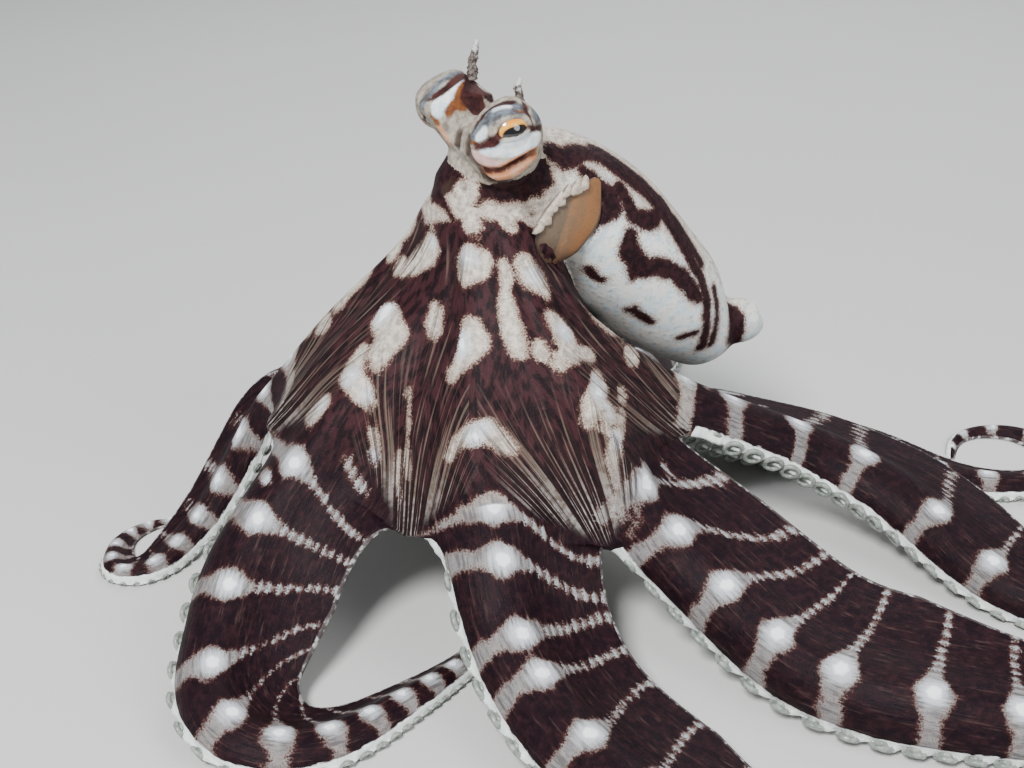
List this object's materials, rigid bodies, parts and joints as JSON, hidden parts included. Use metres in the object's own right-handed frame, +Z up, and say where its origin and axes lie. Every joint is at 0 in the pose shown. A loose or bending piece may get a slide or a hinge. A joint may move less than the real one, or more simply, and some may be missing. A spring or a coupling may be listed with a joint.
{
  "type": "mimic octopus",
  "caption": "Mimic octopus standing with its web spread like a tent, banded tapering arms curving over the floor, raised eyes with small horns and a long mantle hanging behind.",
  "frame": {"origin": "on the floor, under the middle of the whole animal's box", "axes": "+X to the animal's side where the mantle hangs and the long arms trail, +Y away from the side shown in the picture, +Z up"},
  "size_m": [0.2309, 0.2067, 0.0917],
  "materials": {
    "web_skin": "moist skin, maroon blotches on off-white",
    "arm_skin": "moist skin, maroon-black and white bands",
    "head_skin": "moist skin, off-white with dark lines",
    "mantle_skin": "moist skin, white patches in a maroon net",
    "horn_skin": "crinkled skin",
    "collar_flesh": "smooth tan flesh",
    "siphon_flesh": "smooth pale flesh",
    "eye": "wet orange iris with a dark slit pupil",
    "beak": "dark horny beak"
  },
  "bodies": {
    "root": {"arm_1_base": "arm_skin", "arm_1_middle": "arm_skin", "arm_1_tip": "arm_skin", "arm_2_base": "arm_skin", "arm_2_middle": "arm_skin", "arm_2_tip": "arm_skin", "arm_3_base": "arm_skin", "arm_3_middle": "arm_skin", "arm_3_tip": "arm_skin", "arm_4_base": "arm_skin", "arm_4_middle": "arm_skin", "arm_4_tip": "arm_skin", "arm_5_base": "arm_skin", "arm_5_middle": "arm_skin", "arm_5_tip": "arm_skin", "arm_6_base": "arm_skin", "arm_6_middle": "arm_skin", "arm_6_tip": "arm_skin", "arm_7_base": "arm_skin", "arm_7_middle": "arm_skin", "arm_7_tip": "arm_skin", "arm_8_base": "arm_skin", "arm_8_middle": "arm_skin", "arm_8_tip": "arm_skin", "eye_left": "eye", "eye_mound_left": "head_skin", "eye_mound_right": "head_skin", "eye_right": "eye", "head": "head_skin", "horn_left": "horn_skin", "horn_right": "horn_skin", "mantle": "mantle_skin", "mantle_opening": "collar_flesh", "mantle_tip": "mantle_skin", "mouth_beak": "beak", "siphon": "siphon_flesh", "web_1": "web_skin", "web_2": "web_skin", "web_3": "web_skin", "web_4": "web_skin", "web_5": "web_skin", "web_6": "web_skin", "web_7": "web_skin", "web_8": "web_skin"}
  },
  "joints": []
}
